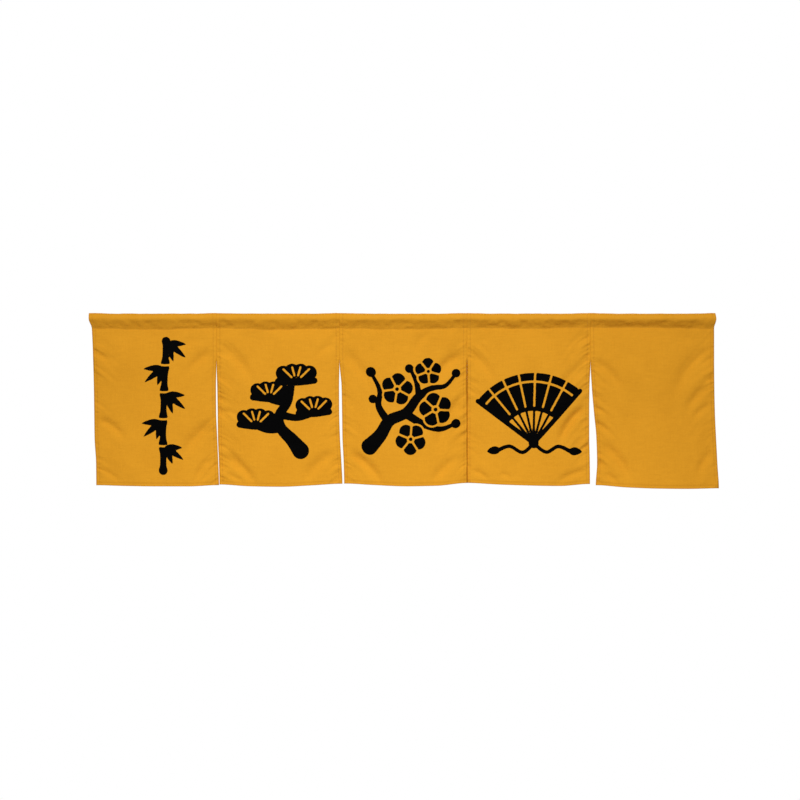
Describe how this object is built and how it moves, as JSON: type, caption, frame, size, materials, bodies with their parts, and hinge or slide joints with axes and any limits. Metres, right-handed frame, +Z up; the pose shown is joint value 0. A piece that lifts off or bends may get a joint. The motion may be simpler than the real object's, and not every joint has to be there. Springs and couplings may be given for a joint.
{
  "type": "noren curtain",
  "caption": "Short split noren curtain of hemmed cloth panels seamed edge to edge at the top, with a rod pocket along its head and open slits below.",
  "frame": {"origin": "where the rod bears on the inside of the pocket's top, at the middle of the curtain's width", "axes": "+Z up, +X along the curtain's width to the right as seen from the front, front facing -Y"},
  "size_m": [1.7217, 0.033, 0.4806],
  "materials": {
    "cloth": null,
    "thread": "matching sewing thread"
  },
  "bodies": {
    "root": {"panel_1": "cloth", "panel_2": "cloth", "panel_3": "cloth", "panel_4": "cloth", "panel_5": "cloth"}
  },
  "joints": []
}
